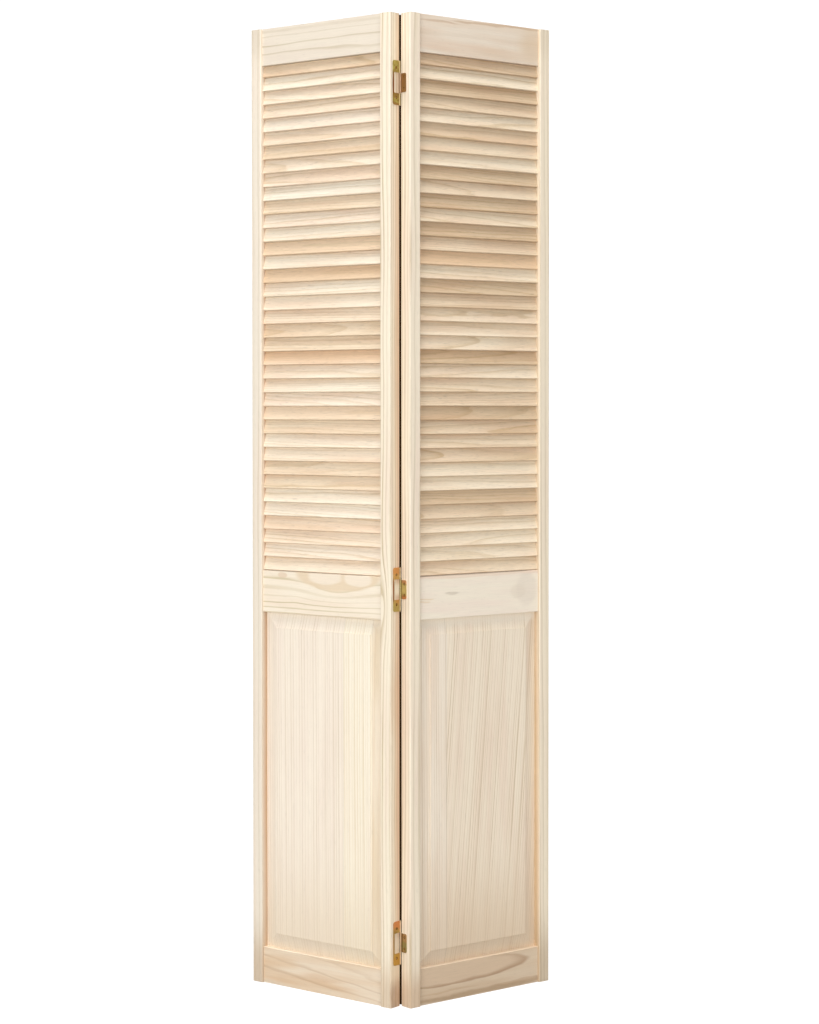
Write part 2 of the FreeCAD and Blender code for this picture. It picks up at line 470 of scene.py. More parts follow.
def sanded_surface(tree: NodeTree, figure: Figure, end_grain: float) -> None:
    """Adds a sanded wood surface, its hard latewood a hair proud.

    Args:
        tree: the material's node tree.
        figure: the board's colour, latewood and fibres.
        end_grain: how much darker a face square to upright grain is, from 0 to 1.
    """
    colour = figure.colour
    if end_grain:
        normal = add(tree, "NewGeometry").outputs["Normal"]
        up = add(tree, "SeparateXYZ", {0: normal}).outputs[2]
        up = add(tree, "Math", {0: up}, operation="ABSOLUTE").outputs[0]
        shade = add(tree, "Math", {0: up, 1: -end_grain, 2: 1.0}, operation="MULTIPLY_ADD").outputs[0]
        colour = add(tree, "VectorMath", {0: colour, 1: shade}, operation="MULTIPLY").outputs[0]
    relief = add(tree, "Math", {0: figure.late, 1: 0.6}, operation="MULTIPLY").outputs[0]
    relief = add(tree, "Math", {0: figure.fibre, 1: 0.5, 2: relief},
                 operation="MULTIPLY_ADD").outputs[0]
    bump = add(tree, "Bump", {"Height": relief, "Strength": 0.3, "Distance": 0.0002})
    rough = add(tree, "MapRange", {"Value": figure.late, "To Min": 0.62, "To Max": 0.5}).outputs[0]
    surface = add(tree, "BsdfPrincipled", {
        "Base Color": colour, "Roughness": rough, "IOR": 1.5,
        "Specular IOR Level": 0.25, "Normal": bump.outputs[0]})
    add(tree, "OutputMaterial", {"Surface": surface.outputs[0]})


def grain_noise(tree: NodeTree, point: NodeSocket,
                lumps: tuple[float, float, float], detail: float) -> Node:
    """Adds a noise whose lumps have these sizes in mm across, deep and along the grain."""
    scaled = add(tree, "VectorMath", {
        0: point, 1: tuple(1 / size for size in lumps)}, operation="MULTIPLY").outputs[0]
    return add(tree, "TexNoise", {"Vector": scaled, "Scale": 1.0, "Detail": detail})


def pushed(tree: NodeTree, point: NodeSocket, noise: NodeSocket, amount: float) -> NodeSocket:
    """Pushes a point by a noise colour, by up to half of amount mm each way."""
    centred = add(tree, "VectorMath", {0: noise, 1: (0.5,) * 3}, operation="SUBTRACT").outputs[0]
    return add(tree, "VectorMath", {0: centred, 1: (amount,) * 3, 2: point},
               operation="MULTIPLY_ADD").outputs[0]


def stained(tree: NodeTree, colour: NodeSocket, point: NodeSocket,
            stains: tuple[Stain, ...]) -> NodeSocket:
    """Lays patches of other tones over a colour, each with its own softness of edge.

    Args:
        tree: the material's node tree.
        colour: the colour under them.
        point: the point that their places are measured at, mm.
        stains: the patches, lowest first.

    Returns:
        The stained colour.
    """
    brink = 0.45
    for stain in stains:
        mask = add(tree, "MapRange", {
            "Value": stain.bell(tree, point), "From Min": brink - stain.edge,
            "From Max": brink + stain.edge, "To Max": stain.strength}, interpolation_type="SMOOTHSTEP")
        colour = add(tree, "Mix", {0: mask.outputs[0], 6: colour, 7: linear(stain.tone)},
                     data_type="RGBA").outputs[2]
    return colour


def grey_stops(ramp: Node, stops: tuple[tuple[float, float], ...]) -> None:
    """Sets a ramp's grey stops.

    Args:
        ramp: the node of the ramp.
        stops: each stop's position and its grey, both from 0 to 1.
    """
    elements = ramp.color_ramp.elements
    while len(elements) < len(stops):
        elements.new(0.5)
    for element, (position, grey) in zip(elements, stops):
        element.position = position
        element.color = (grey, grey, grey, 1.0)


# ---------------------------------------- finishes: brass

@dataclass(frozen=True)
class PlatedBrass:
    """Brass-plated steel, stamped and tumbled: olive-gold metal with copper and brown casts.

    Its stains and marks stand at the room's x and height, mm. Stains are casts whose edges wander;
    marks are straight: painted highlights down the knuckles, painted shadow in the seams beside them
    and painted shade on the strips at the windows' far sides.
    """

    name: str
    metal: str = "B8B066"
    tarnish: str = "94783F"
    roughness: float = 0.34
    edge_wander: float = 14.0
    stains: tuple[Stain, ...] = ()
    marks: tuple[Stain, ...] = ()

    def material(self) -> Material:
        """Makes the metal's material.

        Returns:
            The material, named for the metal.
        """
        material, tree = new_material(self.name)
        room = add(tree, "TexCoord").outputs["Object"]
        point = add(tree, "VectorMath", {0: room, 1: (1 / MM,) * 3}, operation="MULTIPLY").outputs[0]
        cloud = grain_noise(tree, point, BRASS_CLOUDS, 3.0)
        share = add(tree, "MapRange", {
            "Value": cloud.outputs[0], "From Min": 0.42, "From Max": 0.68, "To Max": 0.8}).outputs[0]
        colour = add(tree, "Mix", {0: share, 6: linear(self.metal), 7: linear(self.tarnish)},
                     data_type="RGBA").outputs[2]
        soft = pushed(tree, point, cloud.outputs["Color"], self.edge_wander)
        colour = stained(tree, colour, soft, self.stains)
        colour = stained(tree, colour, point, self.marks)
        speck = grain_noise(tree, point, BRASS_SPECKS, 2.0).outputs[0]
        rough = add(tree, "MapRange", {
            "Value": speck, "To Min": self.roughness - 0.08, "To Max": self.roughness + 0.12})
        bump = add(tree, "Bump", {"Height": speck, "Strength": 0.15, "Distance": 0.0001})
        surface = add(tree, "BsdfPrincipled", {
            "Base Color": colour, "Metallic": 1.0,
            "Roughness": rough.outputs[0], "Normal": bump.outputs[0]})
        add(tree, "OutputMaterial", {"Surface": surface.outputs[0]})
        return material


# ---------------------------------------- sub-assemblies

@dataclass
class Joinery:
    """The sawn members of one leaf, kept as they are and dressed board by board."""

    frame: LeafFrame
    nodes: dict[str, Object]
    boards: dict[str, tuple[PineBoard | GluedPanel, Grain]]

    def dress(self) -> None:
        """Gives each member its own board of pine, laid along its grain."""
        for member, (board, grain) in self.boards.items():
            node = self.nodes[f"{self.frame.side.label}_{member}"]
            node.data.materials.clear()
            node.data.materials.append(board.material(self.place(node.name, grain)))
            log.info("%s: pine board %s, grain %s", node.name, board.name, grain.name.lower())

    def place(self, node: str, grain: Grain) -> Matrix:
        """The matrix from the room, in mm, to a member's own frame: across, deep, along the grain.

        Args:
            node: the member's node, whose box gives its middle.
            grain: which way its grain runs.

        Returns:
            A matrix with no scale.
        """
        low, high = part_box(node)
        middle = (low + high) / 2 / MM
        to_leaf = self.frame.to_room.inverted()
        centred = Matrix.Translation(-(to_leaf @ middle)) @ to_leaf
        if grain is Grain.UPRIGHT:
            return centred
        # Level grain: across is up the leaf, and along is to the right.
        return Matrix(((0, 0, 1, 0), (0, -1, 0, 0), (1, 0, 0, 0), (0, 0, 0, 1))) @ centred


@dataclass
class LouvreBank:
    """The fixed slats of one leaf, each a thin board with rounded edges, leaning out at its foot.

    Lengths are mm. Each slat comes from another place of the log, up to log_reach away, and its grain
    runs out by up to run_out. The lowest is the lightest and those above ever darker: painted shade
    that grows towards the top of the bank.
    """

    frame: LeafFrame
    finish: Material
    seed: int
    count: int = 37
    pitch: float = 28.54
    breadth: float = 31.75
    ripped_breadth: float = 24.06
    thickness: float = 6.0
    lean: float = 75.0
    length: float = 332.85
    middle: float = 187.325
    first_foot: float = 869.1
    set_back: float = 7.2625
    nose: float = 0.9
    nose_steps: int = 3
    log_reach: tuple[float, float, float] = (35.0, 20.0, 9000.0)
    run_out: float = 0.02
    painted_lightest: float = 1.01
    top_shade: float = 0.1

    def build(self) -> Object:
        """Makes the bank in place of the plain slats and lets it ride with its leaf.

        Returns:
            The bank, one object of separate slats.
        """
        side = self.frame.side
        label = side.label
        node = f"{label}_louvre_slats"
        chance = Random(self.seed)
        bank = bmesh.new()
        point = bank.verts.layers.float_vector.new("board_point")
        tint = bank.verts.layers.float_color.new("board_tint")
        for number in range(self.count):
            ripped = number == self.count - 1
            verts = self._slat(bank, self.ripped_breadth if ripped else self.breadth)
            shift = Vector([chance.uniform(-reach, reach) for reach in self.log_reach])
            slope = [chance.uniform(-self.run_out, self.run_out) for _ in range(2)]
            tone = TOP_SLAT_SHADED_TONES[side] if ripped else chance.choice(SLAT_TONES[side])
            # Each slat higher up is toned darker: painted shade towards the top of the bank.
            painted_light = self.painted_lightest - self.top_shade * number / self.count
            shade = (*(channel * painted_light for channel in linear(tone)[:3]), 1.0)
            for vert in verts:
                x, y, z = vert.co
                vert[point] = (Vector((y + slope[0] * x, z + slope[1] * x, x)) + shift) * MM
                vert[tint] = shade
            stand = Matrix.Translation((
                self.frame.across(self.middle), self.frame.deep(self.set_back + self.thickness / 2),
                self.first_foot + self.thickness / 2 + number * self.pitch))
            stand = self.frame.to_room @ stand @ Matrix.Rotation(math.radians(self.lean), 4, "X")
            bmesh.ops.transform(bank, matrix=Matrix.Scale(MM, 4) @ stand, verts=verts)
        bmesh.ops.recalc_face_normals(bank, faces=bank.faces)
        piece = new_piece(f"{label}_slat_bank", bank, self.finish)
        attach(piece, f"{label}_leaf")
        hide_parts(node)
        log.info("%s: %d slats", piece.name, self.count)
        return piece

    def _slat(self, bank: BMesh, breadth: float) -> list[BMVert]:
        """Makes one slat lying flat, its front edge's middle at the origin: x along it, y across.

        Args:
            bank: the bmesh that takes it.
            breadth: how wide it is, mm.

        Returns:
            Its vertices.
        """
        made = bmesh.ops.create_cube(bank, size=1.0)["verts"]
        bmesh.ops.scale(bank, vec=(self.length, breadth, self.thickness), verts=made)
        bmesh.ops.translate(bank, vec=(0.0, (breadth - self.thickness) / 2, 0.0), verts=made)
        edges = dict.fromkeys(e for v in made for e in v.link_edges)
        long_edges = [e for e in edges if abs(e.verts[0].co.x - e.verts[1].co.x) > self.length / 2]
        rounded = bmesh.ops.bevel(bank, geom=long_edges, offset=self.nose, segments=self.nose_steps,
                                  profile=0.5, affect="EDGES", material=-1)
        return list(dict.fromkeys([*(v for v in made if v.is_valid), *rounded["verts"]]))


@dataclass
class HingeScrews:
    """The countersunk screws of one leaf's hinge plates, with a cross recess.

    Lengths are mm, angles degrees, and shares are of the head's radius. The cross's arms lie
    between the head's grid lines, and each cross is turned another way.
    """

    frame: LeafFrame
    finish: Material
    heights: dict[str, float]
    spacing: float
    from_back: float = 10.2
    plate: float = 1.0
    sink: float = 0.06
    length: float = 16.0
    head_radius: float = 2.95
    head_angle: float = 41.0
    shank_radius: float = 1.4
    point_length: float = 3.0
    point_share: float = 0.12
    grid_lines: tuple[float, ...] = (-1.0, -0.7, -0.38, -0.16, 0.16, 0.38, 0.7, 1.0)
    arm_share: float = 0.2
    cross_share: float = 0.66
    recess_depth: float = 1.1
    recess_taper: float = 0.62
    first_turn: float = 17.0
    screw_turn: float = 41.0
    hinge_turn: float = 29.0

    def build(self) -> list[Object]:
        """Makes the screws of each hinge as one piece per plate, riding with the leaf.

        Returns:
            The pieces.
        """
        side = self.frame.side
        outward = Matrix.Rotation(math.radians(-90 * side.value), 4, "Y")
        pieces = []
        for number, (hinge, height) in enumerate(self.heights.items()):
            screws = bmesh.new()
            for step, sign in enumerate((-1, 1)):
                verts = self._screw(screws)
                turn = self.first_turn + self.screw_turn * step + self.hinge_turn * number
                place = Matrix.Translation((
                    self.frame.across(-self.plate + self.sink),
                    self.frame.deep(self.frame.thickness - self.from_back),
                    height + sign * self.spacing / 2))
                place = place @ outward @ Matrix.Rotation(math.radians(turn), 4, "Z")
                move = Matrix.Scale(MM, 4) @ self.frame.to_room @ place
                bmesh.ops.transform(screws, matrix=move, verts=verts)
            bmesh.ops.recalc_face_normals(screws, faces=screws.faces)
            piece = new_piece(f"{hinge}_hinge_{side.label}_screws", screws, self.finish)
            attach(piece, f"{side.label}_leaf")
            log.info("%s: two screws", piece.name)
            pieces.append(piece)
        return pieces

    def _screw(self, screws: BMesh) -> list[BMVert]:
        """Makes one screw, its head's top at the origin and facing up.

        Args:
            screws: the bmesh that takes it.

        Returns:
            Its vertices.
        """
        steps = len(self.grid_lines) - 1
        made = bmesh.ops.create_grid(screws, x_segments=steps, y_segments=steps, size=1.0)["verts"]
        for vert in made:
            x, y = (self.grid_lines[round((c + 1) * steps / 2)] for c in vert.co.xy)
            vert.co = (x * math.sqrt(1 - y * y / 2) * self.head_radius,
                       y * math.sqrt(1 - x * x / 2) * self.head_radius, 0.0)
        rim = [e for e in dict.fromkeys(e for v in made for e in v.link_edges) if e.is_boundary]
        arm = self.arm_share * self.head_radius
        reach = self.cross_share * self.head_radius
        cross = [f for f in dict.fromkeys(f for v in made for f in v.link_faces)
                 if min(abs(c) for c in f.calc_center_median().xy) < arm
                 and max(abs(c) for c in f.calc_center_median().xy) < reach]
        pressed = bmesh.ops.extrude_face_region(screws, geom=cross)
        floor = [g for g in pressed["geom"] if isinstance(g, BMVert)]
        bmesh.ops.delete(screws, geom=cross, context="FACES_ONLY")
        bmesh.ops.scale(screws, vec=(self.recess_taper, self.recess_taper, 1.0), verts=floor)
        bmesh.ops.translate(screws, vec=(0.0, 0.0, -self.recess_depth), verts=floor)
        verts = list(made) + floor
        cone = (self.head_radius - self.shank_radius) / math.tan(math.radians(self.head_angle))
        for scale, drop in (
                (self.shank_radius / self.head_radius, cone),
                (1.0, self.length - cone - self.point_length), (self.point_share, self.point_length)):
            grown = bmesh.ops.extrude_edge_only(screws, edges=rim)["geom"]
            ring = [g for g in grown if isinstance(g, BMVert)]
            rim = [g for g in grown if isinstance(g, BMEdge) and g.is_boundary]
            bmesh.ops.scale(screws, vec=(scale, scale, 1.0), verts=ring)
            bmesh.ops.translate(screws, vec=(0.0, 0.0, -drop), verts=ring)
            verts += ring
        bmesh.ops.holes_fill(screws, edges=rim, sides=0)
        return verts


@dataclass
class Hinges:
    """The hinges' plates and pins, kept as they are; each ending of a name has its own brass."""

    nodes: dict[str, Object]
    brasses: dict[str, PlatedBrass]

    def dress(self) -> None:
        """Gives each plate and pin its brass."""
        for ending, brass in self.brasses.items():
            finish = brass.material()
            for name, node in self.nodes.items():
                if name.endswith(ending):
                    node.data.materials.clear()
                    node.data.materials.append(finish)
                    log.info("%s: %s", name, finish.name)


# ---------------------------------------- the stage

@dataclass(frozen=True)
class Lamp:
    """A soft square lamp that faces a place on the door's middle line, at the height of its aim.

    Azimuth counts from the front to the right and elevation upwards, degrees; lengths are
    metres. Brightness is the light on a card at the aim that faces the lamp, where 1 is white.
    """

    name: str
    azimuth: float
    elevation: float
    distance: float
    size: float
    brightness: float
    aim: float = 1.0

    def build(self) -> None:
        """Hangs the lamp, which the camera doesn't see."""
        light = bpy.data.lights.new(self.name, "AREA")
        light.size = self.size
        light.energy = self.brightness * math.pi ** 2 * self.distance ** 2
        turn, rise = math.radians(self.azimuth), math.radians(self.elevation)
        away = Vector((
            math.sin(turn) * math.cos(rise), -math.cos(turn) * math.cos(rise), math.sin(rise)))
        body = bpy.data.objects.new(self.name, light)
        body.location = Vector((0.0, 0.0, self.aim)) + away * self.distance
        body.rotation_euler = away.to_track_quat("Z", "Y").to_euler()
        body.visible_camera = False
        bpy.context.scene.collection.objects.link(body)


LAMPS = (
    Lamp("key", azimuth=-32.0, elevation=9.0, distance=12.0, size=5.0, brightness=0.413),
    Lamp("fill", azimuth=32.0, elevation=8.0, distance=12.0, size=5.0, brightness=0.185),
    Lamp("overhead", azimuth=-6.0, elevation=76.0, distance=14.0, size=11.0, brightness=0.86),
    Lamp("softbox", azimuth=-8.0, elevation=80.0, distance=1.7, size=0.6, brightness=1.0, aim=1.8),
    Lamp("low", azimuth=-6.0, elevation=0.0, distance=3.0, size=1.6, brightness=0.08, aim=0.45),
    Lamp("back", azimuth=160.0, elevation=35.0, distance=12.0, size=5.0, brightness=0.55))


@dataclass(frozen=True)
class Viewpoint:
    """The camera, level with the door's upper half; angles are radians, lens and rows pixels."""

    place: tuple[float, float, float] = (0.014019, -4.821965, 1.206828)
    dip: float = 0.0235103
    roll: float = 0.00050279
    yaw: float = -0.00094179
    lens: float = 2347.13
    middle_row: float = 463.65
    rows: int = 1024
    sensor: float = 36.0

    def build(self) -> None:
        """Stands the camera up and makes it the scene's."""
        camera = bpy.data.cameras.new("camera")
        camera.sensor_width = self.sensor
        camera.lens = self.lens / self.rows * self.sensor
        camera.shift_y = (self.middle_row - self.rows / 2) / self.rows
        body = bpy.data.objects.new("camera", camera)
        body.location = self.place
        body.rotation_euler = Euler((math.pi / 2 - self.dip, self.roll, self.yaw), "XYZ")
        bpy.context.scene.collection.objects.link(body)
        bpy.context.scene.camera = body
        bpy.context.scene.view_settings.view_transform = "Standard"


@dataclass(frozen=True)
class Studio:
    """The plain stage: pale floor, white surround, soft lamps, a camera and a dark card that paints the
    shade in the gap between the leaves; metres.
    """

    lamps: tuple[Lamp, ...] = LAMPS
    seen_white: float = 1.1
    surround_light: float = 0.27
    floor_size: float = 60.0
    floor_level: float = -0.001
    door_height: float = 1.997
    joint_depth: float = -0.1051313
    card_width: float = 0.0052
    card_set_back: float = 0.0026
    card_margin: float = 0.002

    def build(self) -> None:
        """Sets the stage up."""
        self._surround()
        self._floor()
        self._gap_shade_card()
        for lamp in self.lamps:
            lamp.build()
        Viewpoint().build()

    def _surround(self) -> None:
        """White all round; it lights the door less than it shows."""
        world = bpy.data.worlds.new("white_surround")
        world.use_nodes = True
        tree = world.node_tree
        tree.nodes.clear()
        seen = add(tree, "LightPath").outputs["Is Camera Ray"]
        strength = add(tree, "MapRange", {
            "Value": seen, "To Min": self.surround_light, "To Max": self.seen_white}).outputs[0]
        back = add(tree, "Background", {"Color": WHITE, "Strength": strength})
        add(tree, "OutputWorld", {"Surface": back.outputs[0]})
        bpy.context.scene.world = world

    def _floor(self) -> None:
        """A pale floor as white as the surround, which throws only a little light back up."""
        material, tree = new_material("pale_floor")
        matt = add(tree, "BsdfDiffuse", {"Color": linear("A5A3A0")})
        white = add(tree, "Emission", {"Color": WHITE, "Strength": self.seen_white})
        seen = add(tree, "LightPath").outputs["Is Camera Ray"]
        surface = add(tree, "MixShader", {0: seen, 1: matt.outputs[0], 2: white.outputs[0]})
        add(tree, "OutputMaterial", {"Surface": surface.outputs[0]})
        shape = bmesh.new()
        bmesh.ops.create_grid(shape, x_segments=1, y_segments=1, size=self.floor_size / 2)
        bmesh.ops.translate(shape, vec=(0.0, 0.0, self.floor_level), verts=shape.verts)
        new_piece("floor", shape, material)

    def _gap_shade_card(self) -> None:
        """A narrow card behind the joint: dark from the room's side, clear from the other. Its dark is
        painted shade: with it the gap between the leaves looks as dark as it does in a closet's
        doorway.
        """
        # Painted shade: a dark card where the gap between the leaves shows only shadow.
        material, tree = new_material("painted_gap_shade")
        dark = add(tree, "BsdfPrincipled", {
            "Base Color": linear("382818"), "Roughness": 0.9, "Specular IOR Level": 0.0})
        clear = add(tree, "BsdfTransparent")
        behind = add(tree, "NewGeometry").outputs["Backfacing"]
        surface = add(tree, "MixShader", {0: behind, 1: dark.outputs[0], 2: clear.outputs[0]})
        add(tree, "OutputMaterial", {"Surface": surface.outputs[0]})
        shape = bmesh.new()
        made = bmesh.ops.create_grid(shape, x_segments=1, y_segments=1, size=0.5)["verts"]
        height = self.door_height - 2 * self.card_margin
        bmesh.ops.scale(shape, vec=(self.card_width, height, 1.0), verts=made)
        stand = Matrix.Translation((
            0.0, self.joint_depth + self.card_set_back, self.door_height / 2))
        bmesh.ops.transform(shape, matrix=stand @ Matrix.Rotation(math.radians(90), 4, "X"), verts=made)
        new_piece("gap_shade_card", shape, material)


# ---------------------------------------- the brass of this door

# The hinges' middles, mm above the door's foot.
TOP, MID, BOTTOM = 1858.0, 842.9, 128.8
SCREW_SPACINGS = {Side.LEFT: 60.0, Side.RIGHT: 23.0}

OUTER_PLATES = PlatedBrass(
    "brass_outer_plates",
    stains=(
        Stain(-8.0, TOP + 22.0, 11.0, 6.0, "A28E52", 0.5),
        Stain(-8.0, TOP - 24.0, 13.0, 8.0, "9A7442", 0.7),
        Stain(-9.0, TOP - 43.0, 14.0, 4.0, "9A7048", 0.7),
        Stain(-7.0, MID + 38.0, 15.0, 15.0, "E2A86C", 0.9, 0.3),
        Stain(-4.0, MID - 24.0, 9.0, 9.0, "DDA062", 0.8, 0.3),
        Stain(-8.0, MID + 24.0, 12.0, 8.0, "D8B878", 0.7, 0.3),
        Stain(-9.0, MID - 36.0, 13.0, 14.0, "CDBB7A", 0.6, 0.3),
        Stain(-4.0, BOTTOM + 38.0, 14.0, 14.0, "D99262", 0.9, 0.3),
        Stain(-9.0, BOTTOM + 24.0, 8.0, 8.0, "C29E66", 0.6),
        Stain(-7.0, BOTTOM - 32.0, 15.0, 17.0, "CFA052", 0.8, 0.3)),
    # Marks: painted shade on the strips beside the windows, painted highlights down the knuckles and
    # painted shadow in the seams beside them.
    marks=(
        Stain(-13.6, TOP, 1.9, 26.0, "7A452C", 0.9), Stain(-13.6, MID, 1.7, 26.0, "8A5038", 0.85),
        Stain(-13.6, BOTTOM, 1.9, 26.0, "C9A070", 0.8),
        Stain(-0.6, TOP, 2.2, 300.0, "C0AA7C", 1.0, 0.05),
        Stain(-0.6, MID, 2.2, 300.0, "C8B189", 0.9, 0.05),
        Stain(-0.5, BOTTOM, 1.6, 300.0, "F4D4AC", 1.0, 0.05),
        Stain(2.2, TOP, 2.0, 300.0, "3A2616", 0.95, 0.1),
        Stain(2.2, MID, 2.2, 300.0, "3A2616", 0.95, 0.1),
        Stain(2.2, BOTTOM, 1.6, 300.0, "3A2616", 0.9, 0.1)))

INNER_PLATES = PlatedBrass(
    "brass_inner_plates",
    stains=(
        Stain(8.0, TOP, 20.0, 40.0, "AE885C", 0.9),
        Stain(8.0, MID + 18.0, 13.0, 7.0, "E8B88E", 0.9, 0.3),
        Stain(8.0, MID, 13.0, 12.0, "DCCB8C", 0.85, 0.3),
        Stain(8.0, MID - 19.0, 13.0, 8.0, "DB9E70", 0.9, 0.3),
        Stain(8.0, BOTTOM, 20.0, 40.0, "C8A47A", 0.85),
        Stain(9.0, BOTTOM - 7.0, 8.0, 11.0, "A8A670", 0.8, 0.3)),
    # Marks: painted highlights down the knuckles and painted shadow in the seams beside them.
    marks=(
        Stain(0.6, TOP, 2.6, 300.0, "B4987C", 1.0, 0.05),
        Stain(0.3, MID, 3.6, 300.0, "A9996A", 0.95, 0.1),
        Stain(-0.3, BOTTOM, 1.6, 300.0, "F4D4AC", 1.0, 0.05),
        Stain(-2.3, TOP, 1.7, 300.0, "6B4A34", 0.9, 0.1),
        Stain(-2.3, BOTTOM, 1.6, 300.0, "4A3020", 0.9, 0.1),
        Stain(2.9, BOTTOM, 1.0, 300.0, "4A3020", 0.8, 0.1)))

PINS = PlatedBrass("brass_pins", metal="D9C193", roughness=0.26)
SCREWS = PlatedBrass("brass_screws", metal="A88044", tarnish="7A5A30", roughness=0.4)


# ---------------------------------------- the boards of this door

def end_tone(end: float, reach: float, tone: str, strength: float) -> Stain:
    """A tone over a board's whole width that comes on softly to one end, mm from its middle."""
    return Stain(0.0, end, 400.0, reach, tone, strength, 0.44)


def painted_margin_light(strength: float) -> Stain:
    """Painted light on a raised panel's top margin, where the mid rail's shadow falls."""
    return Stain(0.0, 352.0, 2000.0, 17.0, "FFF5E4", strength, 0.4)


# Narrow marks along the boards' edges are painted light and shade: painted shade on the outer stiles'
# inner edges beside the slats, painted shadow along the mid rails' top arrises under the lowest slats
# and painted highlights on the bottom rails' top arrises; the left hinge stile has pale marks on its
# edge by its mid and bottom hinges.
# STILE_END is half the stiles' length.
STILE_END = 998.5
# The panels grow darker towards their foot, painted shade where the light falls off towards the floor,
# and their top margins are paler, painted light that lifts the mid rails' shadow.
LEFT_PANEL_SHADING = (end_tone(-420.0, 230.0, "E2CEB0", 0.5), painted_margin_light(0.4))
RIGHT_PANEL_SHADING = (end_tone(-420.0, 230.0, "D6BC9C", 0.58), painted_margin_light(0.75))

LEFT_BOARDS = {
    "outer_stile": (PineBoard(
        "pine_left_outer_stile", sapwood="F0E5D4", latewood="C4B492", heartwood="D2A47C",
        pith=(42.0, 22.0), ring=8.5, heart_radius=39.0, cloudiness=0.4, wander=6.0, end_grain=0.5,
        stains=(end_tone(-STILE_END, 105.0, "B4946F", 0.5), end_tone(STILE_END, 60.0, "B8A98F", 0.25)),
        # These marks on the inner edge are painted shade beside the slats' ends.
        marks=(Stain(13.6, 0.0, 1.2, 4000.0, "A9845E", 0.08, 0.1),
               Stain(13.6, -570.0, 1.2, 400.0, "A9845E", 0.15, 0.1))), Grain.UPRIGHT),
    "hinge_stile": (PineBoard(
        "pine_left_hinge_stile", sapwood="F9EDD7", latewood="BAA272", heartwood="E0C0A2",
        pith=(48.0, 44.0), ring=6.0, heart_radius=54.0, heart_edge=9.0, line_strength=1.0,
        wander=11.0, end_grain=0.5, swells=(Swell(-2.0, -190.0, 12.0, 80.0, 9.0),),
        stains=(end_tone(-STILE_END, 85.0, "C7A989", 0.5),
                Stain(14.0, -372.0, 2.2, 80.0, "D6AA82", 0.25, 0.4),
                Stain(14.0, -985.0, 2.2, 40.0, "B08462", 0.45, 0.4),
                Stain(14.0, -910.0, 2.2, 40.0, "F2DEC0", 0.7, 0.4)),
        marks=(Stain(16.0, -155.6, 4.0, 17.0, "FFF2DC", 0.85, 0.2),
               Stain(16.0, -869.7, 4.0, 17.0, "F8E4CA", 0.7, 0.2))), Grain.UPRIGHT),
    "top_rail": (PineBoard(
        "pine_left_top_rail", sapwood="E8DDCC", latewood="C8B99C", blush="E4D6C6",
        pith=(-40.0, 82.0), line_strength=0.95, onset=0.7, ring=9.0, wander=7.0,
        ripple=2.5), Grain.LEVEL),
    "mid_rail": (PineBoard(
        "pine_left_mid_rail", sapwood="F8ECD8", latewood="CBB98E", blush="F4E2CC", onset=0.72,
        pith=(50.0, 90.0), lean=(0.0, 0.0), line_strength=1.0, wander=2.5, ripple=1.6, ring=8.0,
        swells=(Swell(4.0, 40.0, 24.0, 90.0, -8.0), Swell(-14.0, -70.0, 20.0, 26.0, 1.5)),
        stains=(Stain(44.0, 44.0, 40.0, 126.0, "E8D2B2", 0.8, 0.06),
                Stain(36.0, -106.0, 8.0, 14.0, "E2C8AC", 0.6),
                Stain(38.0, 10.0, 20.0, 50.0, "F8EAD6", 0.85, 0.12),
                Stain(36.0, 98.0, 18.0, 40.0, "F8EAD6", 0.85, 0.12)),
        # The mark along the top arris is painted shadow in the joint under the lowest slat.
        marks=(Stain(43.5, -60.0, 1.3, 200.0, "7E5E42", 0.35, 0.1),)), Grain.LEVEL),
    "bottom_rail": (PineBoard(
        "pine_left_bottom_rail", sapwood="ECDBC4", latewood="B8946C", blush="DEC09E",
        cloudiness=0.9, pith=(110.0, 60.0), lean=(0.0, 6.5), ring=22.0, onset=0.66,
        line_strength=0.72, wander=24.0, ripple=8.0,
        stains=(Stain(12.0, -120.0, 12.0, 60.0, "DDBE9A", 0.5, 0.3),
                Stain(-6.0, 0.0, 8.0, 60.0, "D8B692", 0.5, 0.4)),
        # The pale mark along the top arris is a painted highlight.
        marks=(Stain(37.6, 0.0, 1.2, 2000.0, "F6E8D4", 0.5, 0.1),)), Grain.LEVEL),
    "raised_panel": (GluedPanel("pine_left_panel", (
        PineBoard("strip_a", sapwood="F9EDDC", latewood="DCCAB0", blush="F2E1D2",
                  pith=(-260.0, 60.0), ring=7.4, wander=3.0, line_strength=0.85, cloudiness=0.4,
                  stains=LEFT_PANEL_SHADING),
        PineBoard("strip_b", sapwood="FCF2DE", latewood="E2CFAA", pith=(-200.0, 80.0), ring=6.8,
                  wander=3.0, line_strength=0.8, cloudiness=0.2, stains=LEFT_PANEL_SHADING),
        PineBoard("strip_c", sapwood="F6E8D2", latewood="DDC3A2", blush="EBD9BC", pith=(150.0, 40.0),
                  ring=6.0, wander=10.0, line_strength=0.7, cloudiness=0.9, stains=LEFT_PANEL_SHADING)),
        (56.0, 131.0)), Grain.UPRIGHT),
}

